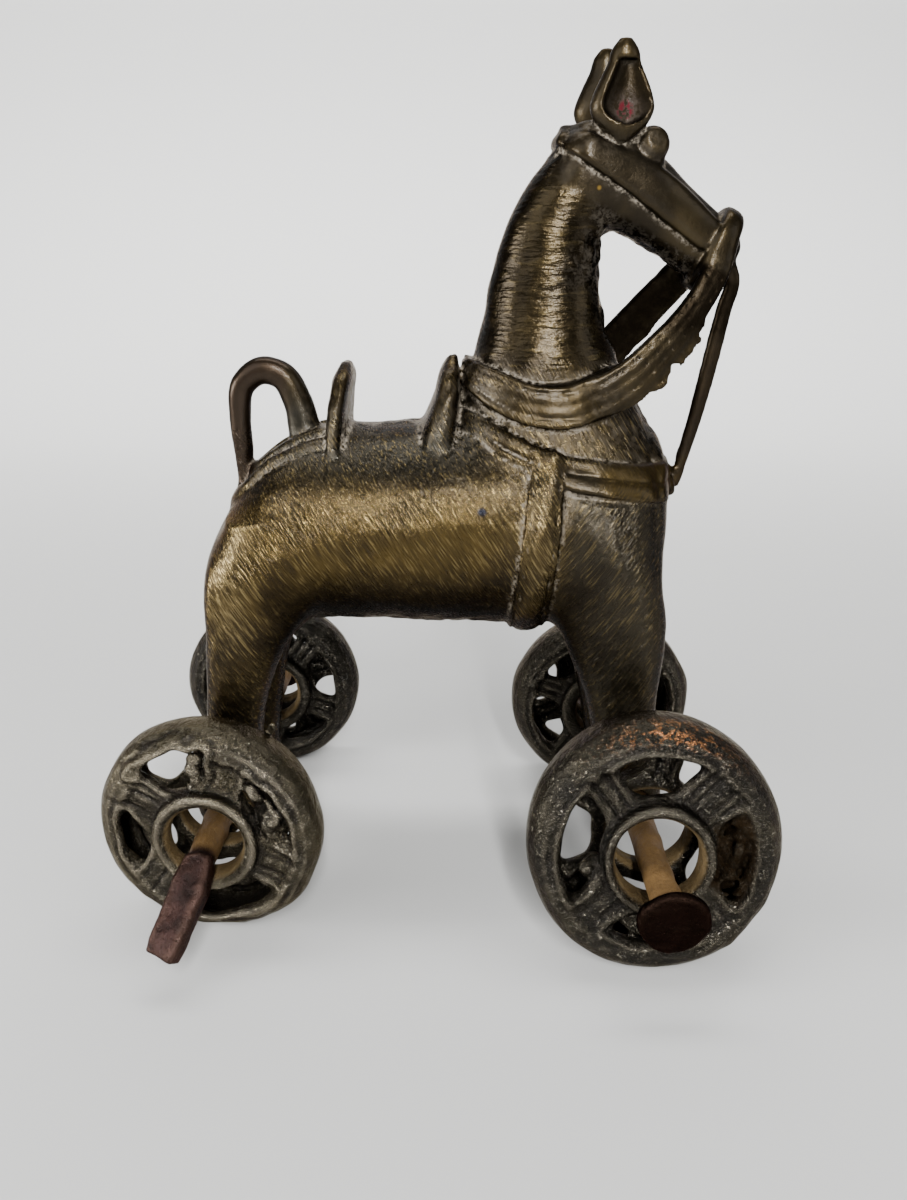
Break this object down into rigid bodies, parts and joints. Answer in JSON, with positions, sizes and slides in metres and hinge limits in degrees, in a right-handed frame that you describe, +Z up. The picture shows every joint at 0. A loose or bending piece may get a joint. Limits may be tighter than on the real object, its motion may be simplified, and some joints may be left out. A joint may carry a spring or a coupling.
{
  "type": "cast toy horse on wheels",
  "caption": "Cast metal toy horse with saddle, collar, reins and a looped tail, which rolls on pierced hollow wheels that turn loosely on bent iron nails.",
  "frame": {"origin": "on the ground, below the middle of the whole toy", "axes": "+X towards the horse's nose, +Y towards its left side, +Z up"},
  "size_m": [0.1322, 0.1124, 0.1628],
  "materials": {
    "cast_metal": "worn cast copper alloy with a dark brown to olive patina, rubbed golden on its high places, with pale grey dust in its corners",
    "wheel_metal": "worn cast copper alloy, pewter brown, pitted on its sides and smooth on its tread",
    "rusty_iron": "purple-brown rusted wrought iron, rubbed to ochre on the shaft"
  },
  "bodies": {
    "toy_body": {"horse": "cast_metal", "axle_rear": "rusty_iron", "axle_front": "rusty_iron"},
    "rear_right_wheel": {"wheel_rear_right": "wheel_metal"},
    "rear_left_wheel": {"wheel_rear_left": "wheel_metal"},
    "front_right_wheel": {"wheel_front_right": "wheel_metal"},
    "front_left_wheel": {"wheel_front_left": "wheel_metal"}
  },
  "joints": [
    {"name": "rear_right_spin", "type": "hinge", "parent": "toy_body", "child": "rear_right_wheel", "pos_m": [-0.0436, -0.0286, 0.0225], "axis": [0, 1, 0], "continuous": true},
    {"name": "rear_left_spin", "type": "hinge", "parent": "toy_body", "child": "rear_left_wheel", "pos_m": [-0.0436, 0.0376, 0.0225], "axis": [0, 1, 0], "continuous": true},
    {"name": "front_right_spin", "type": "hinge", "parent": "toy_body", "child": "front_right_wheel", "pos_m": [0.042, -0.0368, 0.0241], "axis": [0, 1, 0], "continuous": true},
    {"name": "front_left_spin", "type": "hinge", "parent": "toy_body", "child": "front_left_wheel", "pos_m": [0.0417, 0.0278, 0.0225], "axis": [0, 1, 0], "continuous": true}
  ]
}
